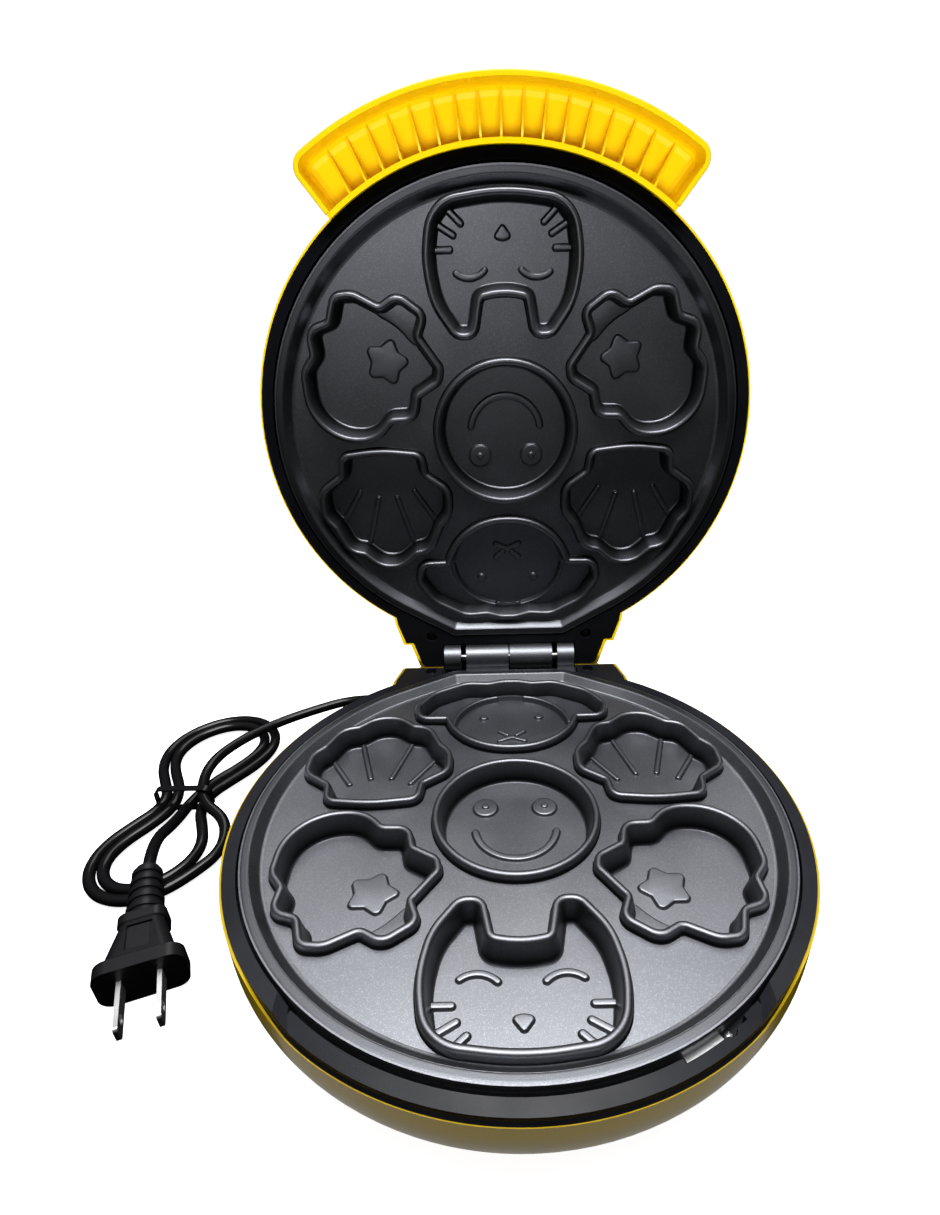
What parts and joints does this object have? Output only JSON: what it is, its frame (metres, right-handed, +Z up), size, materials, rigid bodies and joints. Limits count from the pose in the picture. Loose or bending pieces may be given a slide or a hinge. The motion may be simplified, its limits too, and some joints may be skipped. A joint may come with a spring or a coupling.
{
  "type": "shaped cake maker",
  "caption": "Round electric countertop maker with a hinged lid, two cast plates with animal, face and shell cavities, fan handle and a tied mains cord.",
  "frame": {"origin": "on the table, below the centre of the base's cooking plate", "axes": "+Z up, +Y from the handle's side to the hinge, +X to the right seen from the front; the lid is open and upright"},
  "size_m": [0.2792, 0.2564, 0.2741],
  "materials": {
    "plate_coating": "dark grey non-stick coating on cast aluminium, satin",
    "housing": "bright yellow, glossy",
    "bezel": "black, semi-gloss",
    "heater": "steel tube, dulled by heat",
    "reflector": "bright sheet",
    "terminal": "white",
    "clip_steel": "plated sheet",
    "screw_steel": "plated",
    "foot": "black",
    "pin_steel": "satin",
    "lamp_red": "red, clear",
    "lamp_green": "green, clear",
    "cord": "black, satin",
    "tie": "black",
    "plug": "black, satin",
    "blade": "nickel plated, bright"
  },
  "bodies": {
    "base": {"base_plate": "plate_coating", "base_housing": "housing", "base_bezel": "bezel", "base_heater": "heater", "base_reflector": "reflector", "base_thermostat": "clip_steel", "base_thermal_fuse": "clip_steel", "base_terminal_block": "terminal", "base_plate_clips": "clip_steel", "base_clip_screws": "screw_steel", "base_bezel_screws": "screw_steel", "foot_front_left": "foot", "foot_front_right": "foot", "foot_rear_left": "foot", "foot_rear_right": "foot", "hinge_pin": "pin_steel", "cord_strain_relief": "cord", "cord_lead": "cord", "cord_hank": "cord", "cord_tail": "cord", "cord_tie": "tie", "plug_body": "plug", "plug_blades": "blade"},
    "lid": {"lid_plate": "plate_coating", "lid_housing": "housing", "lid_bezel": "bezel", "lid_heater": "heater", "lid_reflector": "reflector", "lid_plate_clips": "clip_steel", "lid_clip_screws": "screw_steel", "lid_bezel_screws": "screw_steel", "lamp_power": "lamp_red", "lamp_ready": "lamp_green"}
  },
  "joints": [
    {"name": "lid_hinge", "type": "hinge", "parent": "base", "child": "lid", "pos_m": [0, 0.1083, 0.044], "axis": [1, 0, 0], "range_deg": [0, 90]}
  ]
}
